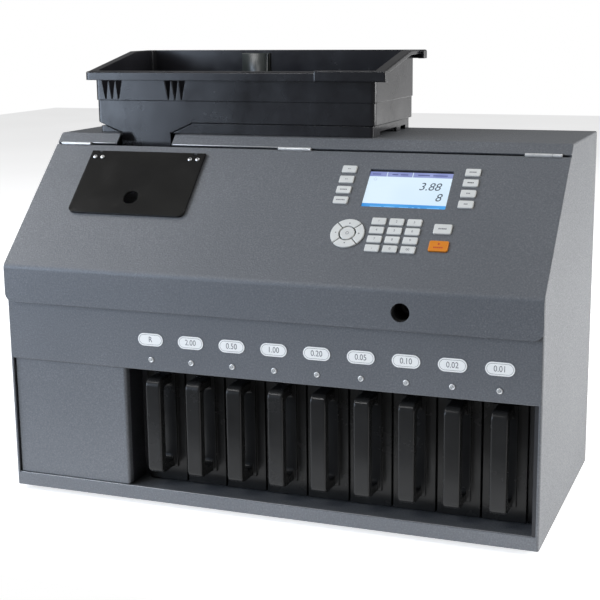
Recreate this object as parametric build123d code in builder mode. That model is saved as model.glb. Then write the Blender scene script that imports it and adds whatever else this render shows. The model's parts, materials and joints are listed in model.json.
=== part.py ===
"""Coin sorting machine: a sheet steel cabinet with a sloped lid, a tilting hopper tray and nine drawers.

Millimetres. The origin is under the middle of the machine, on the plane its rubber feet stand on.
+X is to the right, -Y is the front and +Z is up. "Depth" is measured back from the front plane of the
cabinet, "height" is measured up from its underside, and "down" runs down the sloped lid from its top edge.
"""
from build123d import *
from math import hypot
import os

# ---------------------------------------------------------------- driving dimensions
WIDTH = 630.0
DEPTH = 307.0
HEIGHT = 410.5
SHEET = 2.0                # sheet steel of the cabinet
GAP = 0.3                  # play between pieces that move apart
FOOT_H = 6.0
FRONT_Y = -157.0           # the cabinet's front plane

SLOPE_TOP_DEPTH = 142.0    # front edge of the flat top
BEND_HEIGHT = 269.0        # where the lid bends from its slope to its upright lip
LIP_OUT = 4.0              # the lip stands this far in front of the front plane
LIP_BOTTOM = 226.0
HINGE_DOWN = 17.4          # hinge line of the lid, measured down the slope
STRIP_END = 15.8           # lower edge of the fixed strip above the lid
LID_TOP = 19.0             # upper edge of the lid

BAY_BOTTOM = 15.5          # top of the front lip of the base pan
BAY_TOP = 157.0            # lower edge of the fascia
FLOOR_TOP = 14.0
PITCH = 49.9               # from one coin drawer to the next
LABEL_X = [-128.4 + PITCH * i for i in range(9)]
LABEL_HEIGHT = 193.2
DRAWER_FRONT = 34.5        # depth of the drawer fronts
DRAWER_LONG = 245.0
DRAWER_WIDE = 47.6
DRAWER_TOP = 149.0
HANDLE_WIDE = 18.4
HANDLE_BOTTOM = 33.7
HANDLE_TOP = 146.5
HANDLE_BAR = 10.0          # thickness of the bar, front to back

TRAY_LEFT = -274.0
TRAY_RIGHT = 88.0
TRAY_FRONT = 154.6
TRAY_BACK = 310.5
TRAY_FLOOR = 424.0
TRAY_LEDGE = 450.0
RIM_FRONT_TOP = 485.0
RIM_REAR_TOP = 506.0
RIM_KNEE = 265.0           # depth where the side rims stop rising
RIM_THICK = 3.0
SPOUT_LEFT = -239.5
SPOUT_RIGHT = -173.0
SPOUT_BACK = 182.0
SPOUT_END = 394.0
TRAY_WALL = 2.5
TILT_X = -262.0
TILT_HEIGHT = 416.5

WINDOW_X = (-259.5, -109.5)
WINDOW_DOWN = (29.5, 123.5)
WINDOW_THICK = 3.0
SCREEN_X = (96.7, 191.8)
SCREEN_DOWN = (43.0, 95.7)
LOCK_AT = (165.4, 245.5)   # round hole in the upright lip
LOCK_R = 10.2
KEY_PROUD = 1.8
KEY_DEEP = 5.4             # how far a key reaches under the lid's face
DECK = 46.0                # sorting deck, measured in from the lid's face
DISC_X = -212.0
DISC_DOWN = 80.0
DISC_R = 60.0


def depth(d):
    """Y of a point d behind the front plane."""
    return FRONT_Y + d


def height(h):
    """Z of a point h above the cabinet's underside."""
    return FOOT_H + h


# ---------------------------------------------------------------- the sloped frame
SLOPE_RUN = SLOPE_TOP_DEPTH + LIP_OUT
SLOPE_DROP = HEIGHT - BEND_HEIGHT
SLOPE_LONG = hypot(SLOPE_RUN, SLOPE_DROP)
DOWN_Y = -SLOPE_RUN / SLOPE_LONG
DOWN_Z = -SLOPE_DROP / SLOPE_LONG
OUT_Y = DOWN_Z
OUT_Z = -DOWN_Y


def slope_plane(out=0.0):
    """Plane parallel to the lid, out in front of its face; its local -Y runs down the slope."""
    origin = (0, depth(SLOPE_TOP_DEPTH) + out * OUT_Y, height(HEIGHT) + out * OUT_Z)
    return Plane(origin=origin, x_dir=(1, 0, 0), z_dir=(0, OUT_Y, OUT_Z))


def section(down, out=0.0):
    """(Y, Z) of a point on the side view of the slope."""
    return (
        depth(SLOPE_TOP_DEPTH) + down * DOWN_Y + out * OUT_Y,
        height(HEIGHT) + down * DOWN_Z + out * OUT_Z,
    )


def bend_point(inset):
    """Where the slope, set in by inset, meets the upright lip, set in by the same."""
    y = depth(-LIP_OUT) + inset
    start_y, start_z = section(0, -inset)
    steps = (y - start_y) / DOWN_Y
    return (y, start_z + steps * DOWN_Z)


os.makedirs("parts", exist_ok=True)

# ---------------------------------------------------------------- cabinet shell
SIDE_IN = WIDTH / 2 - SHEET
ROLL = 3.5                 # width of the rolled front edges
UNDER_LID = SHEET + GAP

with BuildPart() as cabinet_shell:
    with BuildSketch(Plane.YZ.offset(-WIDTH / 2)):
        with BuildLine():
            Polyline(
                (depth(0), height(0)),
                (depth(DEPTH), height(0)),
                (depth(DEPTH), height(HEIGHT)),
                section(0),
                section(STRIP_END),
                section(STRIP_END, -UNDER_LID),
                section(SLOPE_LONG - 5.5, -UNDER_LID),
                (depth(0), height(LIP_BOTTOM + 33)),
                close=True,
            )
        make_face()
    extrude(amount=WIDTH)
    rolled = (
        cabinet_shell.edges()
        .filter_by(Axis.Z)
        .group_by(Axis.Y)[0]
    )
    fillet(rolled, radius=2.5)
    top_sides = (
        cabinet_shell.faces()
        .sort_by(Axis.Z)[-1]
        .edges()
        .filter_by(Axis.Y)
    )
    fillet(top_sides, radius=2.0)
    # the hollow, open at the front, the back and the bottom
    with BuildSketch(Plane.YZ.offset(-SIDE_IN)):
        with BuildLine():
            Polyline(
                (depth(SHEET), height(-1)),
                (depth(DEPTH + 1), height(-1)),
                (depth(DEPTH + 1), height(HEIGHT - SHEET)),
                section(SHEET * (1 - OUT_Z) / -DOWN_Z, -SHEET),
                section(STRIP_END + 40, -SHEET),
                section(STRIP_END + 40, 10),
                (depth(-10), height(BEND_HEIGHT + 60)),
                (depth(-10), height(LIP_BOTTOM + 20)),
                (depth(SHEET), height(LIP_BOTTOM + 20)),
                close=True,
            )
        make_face()
    extrude(amount=2 * SIDE_IN, mode=Mode.SUBTRACT)
    # the front between the rolled edges
    with Locations((0, depth(0), height(130))):
        Box(WIDTH - 2 * ROLL, 12, 320, mode=Mode.SUBTRACT)
    # the notch that lets the hopper's spout into the top, wider behind the strip
    with Locations((-196.8, depth(136), height(HEIGHT))):
        Box(74, 28, 50, mode=Mode.SUBTRACT)
    with Locations((-200.9, depth(168), height(HEIGHT))):
        Box(82.2, 40, 50, mode=Mode.SUBTRACT)
    # seats of the three lid hinges in the strip
    with BuildSketch(slope_plane(1)):
        with Locations((-288.6, -STRIP_END), (-1.6, -STRIP_END), (285.2, -STRIP_END)):
            Rectangle(41, 2.6)
    extrude(amount=-4, mode=Mode.SUBTRACT)
cabinet_shell.part.label = "cabinet_shell"
export_step(cabinet_shell.part, "parts/cabinet_shell.step")

# ---------------------------------------------------------------- base pan
with BuildPart() as base_pan:
    with Locations((0, depth(DEPTH / 2 - 0.3), height(FLOOR_TOP - SHEET / 2))):
        Box(2 * SIDE_IN - 0.2, DEPTH - 6, SHEET)
    # upright front lip, folded over at its top edge
    with BuildSketch(Plane.YZ.offset(-WIDTH / 2 + ROLL)):
        with BuildLine():
            Polyline(
                (depth(0), height(0)),
                (depth(SHEET), height(0)),
                (depth(SHEET), height(FLOOR_TOP - SHEET)),
                (depth(6), height(FLOOR_TOP - SHEET)),
                (depth(6), height(BAY_BOTTOM)),
                (depth(0), height(BAY_BOTTOM)),
                close=True,
            )
        make_face()
    extrude(amount=WIDTH - 2 * ROLL)
    front_edge = (
        base_pan.edges()
        .filter_by(Axis.X)
        .filter_by_position(Axis.Y, depth(-0.1), depth(0.1))
        .sort_by(Axis.Z)[-1]
    )
    fillet(front_edge, radius=1.2)
    # bottom tray that the feet screw to
    with Locations((0, depth(DEPTH / 2 - 0.3), height(1))):
        Box(2 * SIDE_IN - 0.2, DEPTH - 6, SHEET)
    for side in (-1, 1):
        with Locations((side * (SIDE_IN - 1.1), depth(DEPTH / 2 - 0.3), height(7))):
            Box(SHEET, DEPTH - 6, 12)
base_pan.part.label = "base_pan"
export_step(base_pan.part, "parts/base_pan.step")

# ---------------------------------------------------------------- rubber feet
FOOT_SPREAD = (530, 215)
with BuildPart() as rubber_feet:
    with BuildSketch():
        with Locations((0, depth(DEPTH / 2))):
            with GridLocations(*FOOT_SPREAD, 2, 2):
                Circle(12)
    extrude(amount=FOOT_H)
    chamfer(rubber_feet.faces().sort_by(Axis.Z)[:4].edges(), length=1.2)
rubber_feet.part.label = "rubber_feet"
export_step(rubber_feet.part, "parts/rubber_feet.step")

# ---------------------------------------------------------------- front fascia
with BuildPart() as front_fascia:
    with Locations((0, depth(SHEET / 2), height((BAY_TOP + 258) / 2))):
        Box(WIDTH - 2 * ROLL, SHEET, 258 - BAY_TOP)
    # hem folded back along the lower edge
    with Locations((0, depth(5), height(BAY_TOP + SHEET / 2))):
        Box(WIDTH - 2 * ROLL, 10, SHEET)
    hem = (
        front_fascia.edges()
        .filter_by(Axis.X)
        .filter_by_position(Axis.Y, depth(-0.1), depth(0.1))
        .sort_by(Axis.Z)[0]
    )
    fillet(hem, radius=1.4)
    # holes of the status lights
    with BuildSketch(Plane.XZ.offset(-depth(-1))):
        for x in LABEL_X:
            with Locations((x, height(169.9))):
                Circle(2.6)
        # the lock's hole, behind the one in the lid's lip
        with Locations((LOCK_AT[0], height(LOCK_AT[1]))):
            Circle(LOCK_R + 0.6)
    extrude(amount=-6, mode=Mode.SUBTRACT)
front_fascia.part.label = "front_fascia"
export_step(front_fascia.part, "parts/front_fascia.step")

# ---------------------------------------------------------------- label plates
with BuildPart() as label_plates:
    for x in LABEL_X:
        with BuildSketch(Plane.XZ.offset(-depth(0))):
            with Locations((x, height(LABEL_HEIGHT))):
                SlotOverall(31, 14.5)
        extrude(amount=0.7)
label_plates.part.label = "label_plates"
export_step(label_plates.part, "parts/label_plates.step")

# ---------------------------------------------------------------- blank panel left of the drawers
PANEL_DEPTH = 3.0
PANEL_GAP = 0.6
RETURN_DEPTH = 12.0        # the panel's right edge is folded back this far
with BuildPart() as blank_panel:
    with BuildSketch(Plane.XY.offset(height(BAY_BOTTOM + PANEL_GAP))):
        with BuildLine():
            Polyline(
                (-309.5, depth(PANEL_DEPTH)),
                (-163.6, depth(PANEL_DEPTH)),
                (-163.6, depth(RETURN_DEPTH)),
                (-165.6, depth(RETURN_DEPTH)),
                (-165.6, depth(PANEL_DEPTH + SHEET)),
                (-309.5, depth(PANEL_DEPTH + SHEET)),
                close=True,
            )
        make_face()
    extrude(amount=BAY_TOP - BAY_BOTTOM - 2 * PANEL_GAP)
    outer_bend = (
        blank_panel.edges()
        .filter_by(Axis.Z)
        .filter_by_position(Axis.X, -163.7, -163.5)
        .sort_by(Axis.Y)[0]
    )
    fillet(outer_bend, radius=3.5)
    inner_bend = (
        blank_panel.edges()
        .filter_by(Axis.Z)
        .filter_by_position(Axis.X, -165.7, -165.5)
        .sort_by(Axis.Y)[0]
    )
    fillet(inner_bend, radius=1.5)
blank_panel.part.label = "blank_panel"
export_step(blank_panel.part, "parts/blank_panel.step")

# ---------------------------------------------------------------- drawer rack
RACK_BACK = DRAWER_FRONT + DRAWER_LONG + 8
RACK_LEFT = LABEL_X[0] - PITCH / 2
RACK_RIGHT = LABEL_X[-1] + PITCH / 2
DIVIDER = 1.0
RACK_TOP = 152.0
RACK_FRONT = 42.0
CEILING = 1.5
CHUTE_DEPTH = 120.0        # middle of the chutes
CHUTE = 42.0
DROP = 38.0
with BuildPart() as drawer_rack:
    rack_middle = (depth((RACK_BACK + RACK_FRONT) / 2), height((FLOOR_TOP + RACK_TOP) / 2))
    for i in range(10):
        with Locations((RACK_LEFT + PITCH * i, *rack_middle)):
            Box(DIVIDER, RACK_BACK - RACK_FRONT, RACK_TOP - FLOOR_TOP)
    # ceiling, open over the drawers where the chutes stand
    rack_mid = (RACK_LEFT + RACK_RIGHT) / 2
    for start, end in ((RACK_FRONT, CHUTE_DEPTH - DROP / 2), (CHUTE_DEPTH + DROP / 2, RACK_BACK)):
        with Locations((rack_mid, depth((start + end) / 2), height(RACK_TOP + CEILING / 2))):
            Box(RACK_RIGHT - RACK_LEFT + DIVIDER, end - start, CEILING)
    # jambs at both ends of the bay, and the plates that close it behind them
    with Locations((-164.6, depth((RETURN_DEPTH + 44.5) / 2), height((BAY_BOTTOM + RACK_TOP) / 2))):
        Box(2, 44 - RETURN_DEPTH, RACK_TOP - BAY_BOTTOM - GAP)
    with Locations((309.5, depth(20), height((BAY_BOTTOM + BAY_TOP) / 2))):
        Box(4, 39, BAY_TOP - BAY_BOTTOM - GAP)
    with Locations(((RACK_RIGHT + 311) / 2, depth(41), height((BAY_BOTTOM + BAY_TOP) / 2))):
        Box(311 - RACK_RIGHT + DIVIDER, 3, BAY_TOP - BAY_BOTTOM - GAP)
    with Locations(((RACK_LEFT - 312) / 2, depth(44), height((BAY_BOTTOM + RACK_TOP) / 2))):
        Box(312 + RACK_LEFT + DIVIDER, 1.5, RACK_TOP - BAY_BOTTOM - GAP)
drawer_rack.part.label = "drawer_rack"
export_step(drawer_rack.part, "parts/drawer_rack.step")

# ---------------------------------------------------------------- coin drawers
DRAWER_NAMES = [
    "reject_drawer",
    "coin_drawer_1",
    "coin_drawer_2",
    "coin_drawer_3",
    "coin_drawer_4",
    "coin_drawer_5",
    "coin_drawer_6",
    "coin_drawer_7",
    "coin_drawer_8",
]
DRAWER_LOW = BAY_BOTTOM + 0.5
DRAWER_WALL = 1.6
PULL_FOOT = 3.0            # back plate of the pull, against the drawer's front
SCREWED_GAP = 0.1


def coin_drawer(name, x):
    """A tall narrow drawer with an upright D-shaped pull screwed to its front, as two solids."""
    middle = height((HANDLE_BOTTOM + HANDLE_TOP) / 2)
    reach = DRAWER_FRONT - SCREWED_GAP
    with BuildPart() as pull:
        with BuildSketch(Plane.YZ.offset(x - HANDLE_WIDE / 2)):
            with Locations((depth(reach / 2), middle)):
                Rectangle(reach, HANDLE_TOP - HANDLE_BOTTOM)
        extrude(amount=HANDLE_WIDE)
        nose = pull.edges().filter_by(Axis.X).group_by(Axis.Y)[0]
        fillet(nose, radius=9.0)
        with BuildSketch(Plane.YZ.offset(x - HANDLE_WIDE)):
            with Locations((depth((HANDLE_BAR + reach - PULL_FOOT) / 2), middle)):
                RectangleRounded(
                    reach - HANDLE_BAR - PULL_FOOT,
                    HANDLE_TOP - HANDLE_BOTTOM - 2 * HANDLE_BAR,
                    6,
                )
        extrude(amount=2 * HANDLE_WIDE, mode=Mode.SUBTRACT)
        for side in (0, -1):
            flank = pull.faces().filter_by(Axis.X).sort_by(Axis.X)[side]
            rim = flank.outer_wire().edges().filter_by_position(Axis.Y, depth(-1), depth(reach - 0.1))
            fillet(rim, radius=2.4)
        with Locations((x, depth(reach - PULL_FOOT / 2), middle)):
            Box(HANDLE_WIDE + 8, PULL_FOOT, HANDLE_TOP - HANDLE_BOTTOM)
    with BuildPart() as drawer:
        with Locations((x, depth(DRAWER_FRONT + DRAWER_LONG / 2), height((DRAWER_LOW + DRAWER_TOP) / 2))):
            Box(DRAWER_WIDE, DRAWER_LONG, DRAWER_TOP - DRAWER_LOW)
        with Locations((x, depth(DRAWER_FRONT + DRAWER_LONG / 2), height(DRAWER_TOP + DRAWER_WALL))):
            Box(
                DRAWER_WIDE - 2 * DRAWER_WALL,
                DRAWER_LONG - 2 * DRAWER_WALL,
                2 * (DRAWER_TOP - DRAWER_LOW),
                mode=Mode.SUBTRACT,
            )
        add(pull.part)
    drawer.part.label = name
    export_step(drawer.part, f"parts/{name}.step")


for drawer_name, drawer_x in zip(DRAWER_NAMES, LABEL_X):
    coin_drawer(drawer_name, drawer_x)

# ---------------------------------------------------------------- coin chutes
with BuildPart() as coin_chutes:
    for x in LABEL_X:
        with Locations((x, depth(CHUTE_DEPTH), height(RACK_TOP + CEILING + 110))):
            Box(CHUTE, CHUTE, 220)
    for x in LABEL_X:
        with Locations((x, depth(CHUTE_DEPTH), height(RACK_TOP + 110))):
            Box(CHUTE - 3.2, CHUTE - 3.2, 260, mode=Mode.SUBTRACT)
    split(bisect_by=slope_plane(-DECK - 6.5), keep=Keep.BOTTOM)
coin_chutes.part.label = "coin_chutes"
export_step(coin_chutes.part, "parts/coin_chutes.step")

# ---------------------------------------------------------------- sorting deck
DECK_THICK = 5.0
SHAFT_R = 5.0
BORE_PLAY = 0.05
with BuildPart() as sorting_deck:
    with BuildSketch(slope_plane(-DECK - DECK_THICK)):
        with Locations((0, -82)):
            Rectangle(2 * SIDE_IN, 172)
    extrude(amount=DECK_THICK)
    # round wall that keeps coins on the feeder disc, open towards the rail
    with BuildSketch(slope_plane(-DECK - 1)):
        with Locations((DISC_X, -DISC_DOWN)):
            Circle(DISC_R + 5)
            Circle(DISC_R + 1.5, mode=Mode.SUBTRACT)
        with Locations((DISC_X + 45, -DISC_DOWN + 48)):
            Rectangle(60, 44, mode=Mode.SUBTRACT)
        with Locations((DISC_X + 10, -DISC_DOWN + 70)):
            Rectangle(70, 40, mode=Mode.SUBTRACT)
    extrude(amount=17)
    # sorting holes, from the narrowest coin to the widest
    for i, x in enumerate(LABEL_X):
        with BuildSketch(slope_plane(-DECK - DECK_THICK - 1)):
            with Locations((x, -DISC_DOWN)):
                RectangleRounded(32, 15 + 1.8 * i, 3)
        extrude(amount=DECK_THICK + 2, mode=Mode.SUBTRACT)
    with BuildSketch(slope_plane(-DECK - DECK_THICK - 1)):
        with Locations((DISC_X, -DISC_DOWN)):
            Circle(SHAFT_R + BORE_PLAY)
    extrude(amount=DECK_THICK + 2, mode=Mode.SUBTRACT)
sorting_deck.part.label = "sorting_deck"
export_step(sorting_deck.part, "parts/sorting_deck.step")

# ---------------------------------------------------------------- coin rail
RAIL_LEFT = DISC_X + 66
with BuildPart() as coin_rail:
    with BuildSketch(slope_plane(-DECK)):
        with Locations(((RAIL_LEFT + 295) / 2, -52), ((RAIL_LEFT + 295) / 2, -61)):
            Rectangle(295 - RAIL_LEFT, 2.5)
    extrude(amount=4.5)
coin_rail.part.label = "coin_rail"
export_step(coin_rail.part, "parts/coin_rail.step")

# ---------------------------------------------------------------- feeder disc and its motor
with BuildPart() as feeder_disc:
    with BuildSketch(slope_plane(-DECK + 1)):
        with Locations((DISC_X, -DISC_DOWN)):
            Circle(DISC_R)
    extrude(amount=5)
    with BuildSketch(slope_plane(-DECK + 3)):
        with Locations((DISC_X, -DISC_DOWN)):
            with PolarLocations(43, 8):
                Circle(13.5)
    extrude(amount=4, mode=Mode.SUBTRACT)
    with BuildSketch(slope_plane(-DECK + 6)):
        with Locations((DISC_X, -DISC_DOWN)):
            Circle(17)
    extrude(amount=6, taper=12)
    with BuildSketch(slope_plane(-DECK - 26)):
        with Locations((DISC_X, -DISC_DOWN)):
            Circle(SHAFT_R)
    extrude(amount=28)
feeder_disc.part.label = "feeder_disc"
export_step(feeder_disc.part, "parts/feeder_disc.step")

with BuildPart() as feeder_motor:
    with BuildSketch(slope_plane(-DECK - DECK_THICK - 14)):
        with Locations((DISC_X, -DISC_DOWN)):
            RectangleRounded(62, 62, 6)
    extrude(amount=14)
    with BuildSketch(slope_plane(-DECK - DECK_THICK - 74)):
        with Locations((DISC_X, -DISC_DOWN)):
            Circle(27)
    extrude(amount=60)
    with BuildSketch(slope_plane(-DECK - DECK_THICK - 24)):
        with Locations((DISC_X, -DISC_DOWN)):
            Circle(SHAFT_R + BORE_PLAY)
    extrude(amount=25, mode=Mode.SUBTRACT)
feeder_motor.part.label = "feeder_motor"
export_step(feeder_motor.part, "parts/feeder_motor.step")

# ---------------------------------------------------------------- power unit behind the blank panel
with BuildPart() as power_unit:
    with Locations((-238, depth(150), height(FLOOR_TOP + 30))):
        Box(120, 170, 60)
    fillet(power_unit.edges().filter_by(Axis.Z), radius=3)
    with Locations((-238, depth(150), height(FLOOR_TOP + 29))):
        Box(120 - 2 * SHEET, 170 - 2 * SHEET, 60 - SHEET, mode=Mode.SUBTRACT)
    with Locations((-238, depth(150), height(FLOOR_TOP + 60))):
        with GridLocations(0, 14, 1, 9):
            Box(90, 4, 6, mode=Mode.SUBTRACT)
power_unit.part.label = "power_unit"
export_step(power_unit.part, "parts/power_unit.step")

# ---------------------------------------------------------------- rear panel, power inlet and switch
REAR_OUT = DEPTH - 0.5
INLET_AT = (-255.0, 60.0)
with BuildPart() as rear_panel:
    with Locations((0, depth(REAR_OUT - 1), height(HEIGHT / 2 + 0.5))):
        Box(2 * SIDE_IN - 0.2, SHEET, HEIGHT - 5.4)
    with BuildSketch(Plane.XZ.offset(-depth(REAR_OUT + 1))):
        with Locations((150, height(110)), (150, height(300)), (-120, height(300))):
            with GridLocations(0, 9, 1, 9):
                SlotOverall(110, 3.5)
        with Locations((INLET_AT[0], height(INLET_AT[1]))):
            Rectangle(29, 51)
    extrude(amount=SHEET + 2, mode=Mode.SUBTRACT)
rear_panel.part.label = "rear_panel"
export_step(rear_panel.part, "parts/rear_panel.step")

SWITCH_AT = INLET_AT[1] + 14.0
ROCKER_PIN = 1.5
with BuildPart() as power_inlet:
    with BuildSketch(Plane.XZ.offset(-depth(REAR_OUT + 2.5))):
        with Locations((INLET_AT[0], height(INLET_AT[1]))):
            RectangleRounded(36, 60, 3)
    extrude(amount=2.5)
    with BuildSketch(Plane.XZ.offset(-depth(REAR_OUT))):
        with Locations((INLET_AT[0], height(INLET_AT[1]))):
            Rectangle(28.4, 50.4)
    extrude(amount=24)
    # socket well
    with BuildSketch(Plane.XZ.offset(-depth(REAR_OUT + 3))):
        with Locations((INLET_AT[0], height(INLET_AT[1] - 11.5))):
            RectangleRounded(24.4, 16.8, 3)
    extrude(amount=18, mode=Mode.SUBTRACT)
    # well of the rocker switch
    with BuildSketch(Plane.XZ.offset(-depth(REAR_OUT + 3))):
        with Locations((INLET_AT[0], height(SWITCH_AT))):
            Rectangle(22.0, 15.0)
    extrude(amount=18, mode=Mode.SUBTRACT)
    with Locations((INLET_AT[0], depth(REAR_OUT - 1), height(SWITCH_AT))):
        Cylinder(ROCKER_PIN + BORE_PLAY, 18.4, mode=Mode.SUBTRACT)
    # three contact blades
    with BuildSketch(Plane.XZ.offset(-depth(REAR_OUT - 15.5))):
        with Locations((INLET_AT[0], height(INLET_AT[1] - 11.5))):
            with Locations((-7, -1.5), (0, 2.0), (7, -1.5)):
                Rectangle(2, 4)
    extrude(amount=-13)
power_inlet.part.label = "power_inlet"
export_step(power_inlet.part, "parts/power_inlet.step")

ROCKER = 9.6               # half the width of the rocker
with BuildPart() as power_switch:
    with BuildSketch(Plane.XY.offset(height(SWITCH_AT) - 6.8)):
        with BuildLine():
            Polyline(
                (INLET_AT[0] - ROCKER, depth(REAR_OUT - 5)),
                (INLET_AT[0] + ROCKER, depth(REAR_OUT - 5)),
                (INLET_AT[0] + ROCKER, depth(REAR_OUT + 2.2)),
                (INLET_AT[0], depth(REAR_OUT + 2.8)),
                (INLET_AT[0] - ROCKER, depth(REAR_OUT + 5.0)),
                close=True,
            )
        make_face()
    extrude(amount=13.6)
    with Locations((INLET_AT[0], depth(REAR_OUT - 1), height(SWITCH_AT))):
        Cylinder(ROCKER_PIN, 18)
power_switch.part.label = "power_switch"
export_step(power_switch.part, "parts/power_switch.step")

# ---------------------------------------------------------------- hopper base
BASE_X = (-269.5, 84.5)
BASE_Y = (156.5, 303.5)
BASE_TOP = TRAY_FLOOR - 0.6
PIN_R = 2.0
EAR_R = 2.6
base_mid = ((BASE_X[0] + BASE_X[1]) / 2, depth((BASE_Y[0] + BASE_Y[1]) / 2))
with BuildPart() as hopper_base:
    with BuildSketch(Plane.XY.offset(height(HEIGHT))):
        with Locations(base_mid):
            RectangleRounded(BASE_X[1] - BASE_X[0], BASE_Y[1] - BASE_Y[0], 4)
            RectangleRounded(BASE_X[1] - BASE_X[0] - 6, BASE_Y[1] - BASE_Y[0] - 6, 2, mode=Mode.SUBTRACT)
    extrude(amount=BASE_TOP - HEIGHT)
    # its top edge follows the sump of the tray
    with BuildSketch(Plane.XZ.offset(-depth(DEPTH))):
        with BuildLine():
            Polyline(
                (-280, height(HEIGHT + 8.0)),
                (TILT_X, height(HEIGHT + 8.0)),
                (-243.5, height(HEIGHT + 1.1)),
                (-169.6, height(HEIGHT + 1.1)),
                (-141.2, height(HEIGHT + 13.5)),
                (-141.2, height(HEIGHT + 20)),
                (-280, height(HEIGHT + 20)),
                close=True,
            )
        make_face()
    extrude(amount=DEPTH, mode=Mode.SUBTRACT)
    # open in front where the spout goes down
    with Locations((-205.9, depth(160), height(HEIGHT))):
        Box(73, 20, 20, mode=Mode.SUBTRACT)
    # slots in the right wall
    with Locations((84, depth(216), height(HEIGHT + 2.6))):
        Box(12, 66, 5.2, mode=Mode.SUBTRACT)
    with Locations((84, depth(275.5), height(HEIGHT + 2.6))):
        Box(12, 20, 5.2, mode=Mode.SUBTRACT)
    # ears at the front and back of the left end, with the pins that the tray tilts on
    for ear, turn in ((BASE_Y[0] + 1.5, -90), (BASE_Y[1] - 1.5, 90)):
        with Locations((TILT_X, depth(ear), height((HEIGHT + TILT_HEIGHT) / 2))):
            Box(2 * EAR_R, 3, TILT_HEIGHT - HEIGHT)
        with Locations((TILT_X, depth(ear), height(TILT_HEIGHT))):
            Cylinder(EAR_R, 3, rotation=(90, 0, 0))
            Cylinder(PIN_R, 9.5, rotation=(turn, 0, 0), align=(Align.CENTER, Align.CENTER, Align.MIN))
hopper_base.part.label = "hopper_base"
export_step(hopper_base.part, "parts/hopper_base.step")

# ---------------------------------------------------------------- hopper tray
RIM_OUT = 8.6
RIM_WALL = 2.5
RIM_LIP = 10.5
SIDE_LIP = 5.0
RIM_LEFT = -283.5
SIDE_RIM = 98.0            # outer edge of the right-hand rim
HOOK_X = 103.0             # the front and back rims run on past it as lifting grips
LEDGE = 1.0                # the lower walls stand in by this much
SUMP_LOW = 412.0
SUMP_RIGHT = -143.5
TRAY_ROUND = 6.0
RIM_ROUND = 2.3
RIM_Y = (TRAY_FRONT - RIM_OUT, TRAY_BACK + 7.5)
GRIP_LEFT = 16.6
tray_mid = ((TRAY_LEFT + TRAY_RIGHT) / 2, depth((TRAY_FRONT + TRAY_BACK) / 2))
spout_mid = ((SPOUT_LEFT + SPOUT_RIGHT) / 2, depth((TRAY_FRONT + LEDGE + SPOUT_BACK) / 2))


def under_rim(drop):
    """Solid that fills everything lower than the rim's top face lowered by drop."""
    with BuildPart() as space:
        with BuildSketch(Plane.YZ.offset(-300)):
            with BuildLine():
                Polyline(
                    (depth(100), height(RIM_FRONT_TOP - drop)),
                    (depth(TRAY_FRONT), height(RIM_FRONT_TOP - drop)),
                    (depth(RIM_KNEE), height(RIM_REAR_TOP - drop)),
                    (depth(350), height(RIM_REAR_TOP - drop)),
                    (depth(350), height(380)),
                    (depth(100), height(380)),
                    close=True,
                )
            make_face()
        extrude(amount=430)
    return space.part


def tray_sump(inset):
    """The low part of the tray, whose floor slopes in from both sides."""
    left = TRAY_LEFT + LEDGE + inset
    right = SUMP_RIGHT - 0.4 * inset
    wide = TRAY_RIGHT - TRAY_LEFT - 2 * (LEDGE + inset)
    deep = TRAY_BACK - TRAY_FRONT - 2 * (LEDGE + inset)
    with BuildPart() as sump:
        with BuildSketch(Plane.XZ.offset(-depth(TRAY_BACK))):
            with BuildLine():
                Polyline(
                    (left, height(TRAY_FLOOR + inset)),
                    (-241.0 + 0.6 * inset, height(SUMP_LOW + inset)),
                    (-171.0 - 0.6 * inset, height(SUMP_LOW + inset)),
                    (right, height(TRAY_FLOOR + inset)),
                    (right, height(TRAY_FLOOR + 8)),
                    (left, height(TRAY_FLOOR + 8)),
                    close=True,
                )
            make_face()
        extrude(amount=TRAY_BACK - TRAY_FRONT)
        with BuildSketch(Plane.XY.offset(height(SUMP_LOW))):
            with Locations(tray_mid):
                RectangleRounded(wide, deep, TRAY_ROUND)
        extrude(amount=TRAY_FLOOR - SUMP_LOW + 10, mode=Mode.INTERSECT)
    return sump.part


def tray_body(inset, top):
    """The tray's body without its rim, as a full solid set in by inset and trimmed by top."""
    wide = TRAY_RIGHT - TRAY_LEFT - 2 * inset
    deep = TRAY_BACK - TRAY_FRONT - 2 * inset
    with BuildPart() as body:
        with BuildSketch(Plane.XY.offset(height(TRAY_LEDGE))):
            with Locations(tray_mid):
                RectangleRounded(wide, deep, TRAY_ROUND)
        extrude(amount=80)
        with BuildSketch(Plane.XY.offset(height(TRAY_FLOOR + inset))):
            with Locations(tray_mid):
                RectangleRounded(wide - 2 * LEDGE, deep - 2 * LEDGE, TRAY_ROUND)
        extrude(amount=TRAY_LEDGE - TRAY_FLOOR - inset)
        add(tray_sump(inset))
        # spout, flush with the front wall, which drops into the cabinet
        with BuildSketch(Plane.XY.offset(height(SPOUT_END - inset))):
            with Locations(spout_mid):
                Rectangle(SPOUT_RIGHT - SPOUT_LEFT - 2 * inset, SPOUT_BACK - TRAY_FRONT - LEDGE - 2 * inset)
        extrude(amount=TRAY_FLOOR - SPOUT_END + 6)
        add(top, mode=Mode.INTERSECT)
    return body.part


TRAY_OUTSIDE = tray_body(0, under_rim(0))
TRAY_INSIDE = tray_body(TRAY_WALL, under_rim(-20))

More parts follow.
